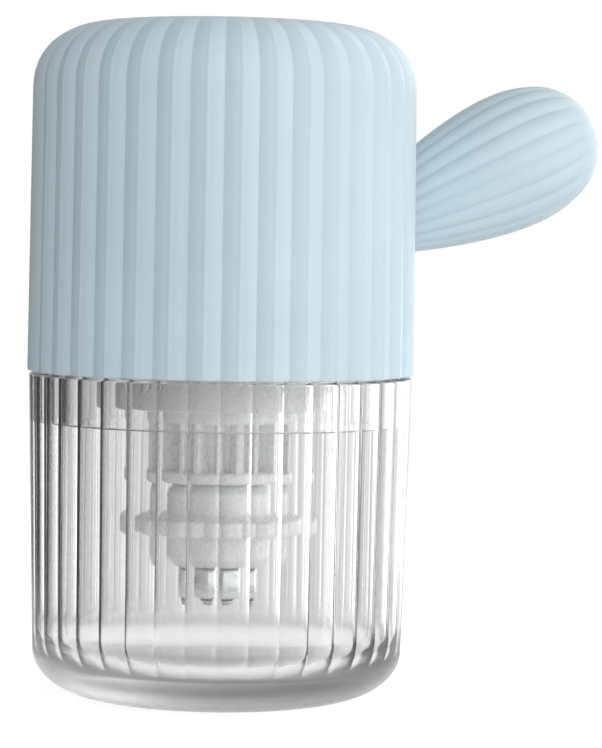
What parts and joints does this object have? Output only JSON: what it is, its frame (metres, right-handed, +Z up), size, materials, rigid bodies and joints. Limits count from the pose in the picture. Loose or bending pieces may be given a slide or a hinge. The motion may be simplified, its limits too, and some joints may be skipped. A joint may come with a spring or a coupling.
{
  "type": "pill crusher",
  "caption": "Hand-turned pill crusher shaped like a cactus: a ribbed cap with a side arm turns a burr mill that grinds into a clear jar.",
  "frame": {"origin": "middle of the jar's flat foot, on the axis of the jar, mill and cap", "axes": "+Z up along the turning axis, +X towards the cap's side arm at rest"},
  "size_m": [0.084, 0.0538, 0.0939],
  "materials": {
    "blue_plastic": "matte powder blue, fine moulded texture",
    "clear_plastic": "clear, polished",
    "frosted_plastic": "translucent natural",
    "white_plastic": "satin white",
    "ceramic": "unglazed, fine grained",
    "silicone": "translucent grey silicone",
    "steel": "turned stainless steel"
  },
  "bodies": {
    "jar": {"jar": "clear_plastic"},
    "mill": {"mill_body": "clear_plastic", "hopper": "frosted_plastic", "outer_burr": "ceramic", "burr_retainer": "frosted_plastic", "retainer_screw_1": "steel", "retainer_screw_2": "steel", "retainer_screw_3": "steel", "seal_ring": "silicone", "lower_bush": "white_plastic", "upper_bush": "white_plastic"},
    "drive": {"drive_shaft": "steel", "inner_burr": "ceramic", "burr_carrier": "frosted_plastic", "lock_nut": "steel", "thrust_washer": "white_plastic", "burr_spring": "steel", "retaining_clip": "steel"},
    "knob": {"adjust_knob": "frosted_plastic"},
    "cap": {"cap_shell": "blue_plastic", "drive_plate": "white_plastic", "drive_plate_screw_1": "steel", "drive_plate_screw_2": "steel", "drive_plate_screw_3": "steel", "arm_front_shell": "blue_plastic", "arm_back_shell": "blue_plastic", "arm_root_plug": "white_plastic", "arm_screw_lower": "steel", "arm_screw_upper": "steel"}
  },
  "joints": [
    {"name": "mill_lift", "type": "slide", "parent": "jar", "child": "mill", "axis": [0, 0, 1], "range_m": [0, 0.04]},
    {"name": "cap_turn", "type": "hinge", "parent": "mill", "child": "drive", "pos_m": [0, 0, 0.06], "axis": [0, 0, 1], "continuous": true},
    {"name": "grind_set", "type": "hinge", "parent": "drive", "child": "knob", "pos_m": [0, 0, 0.0242], "axis": [0, 0, 1], "range_deg": [-180, 180]},
    {"name": "cap_lift", "type": "slide", "parent": "drive", "child": "cap", "axis": [0, 0, 1], "range_m": [0, 0.042]}
  ]
}
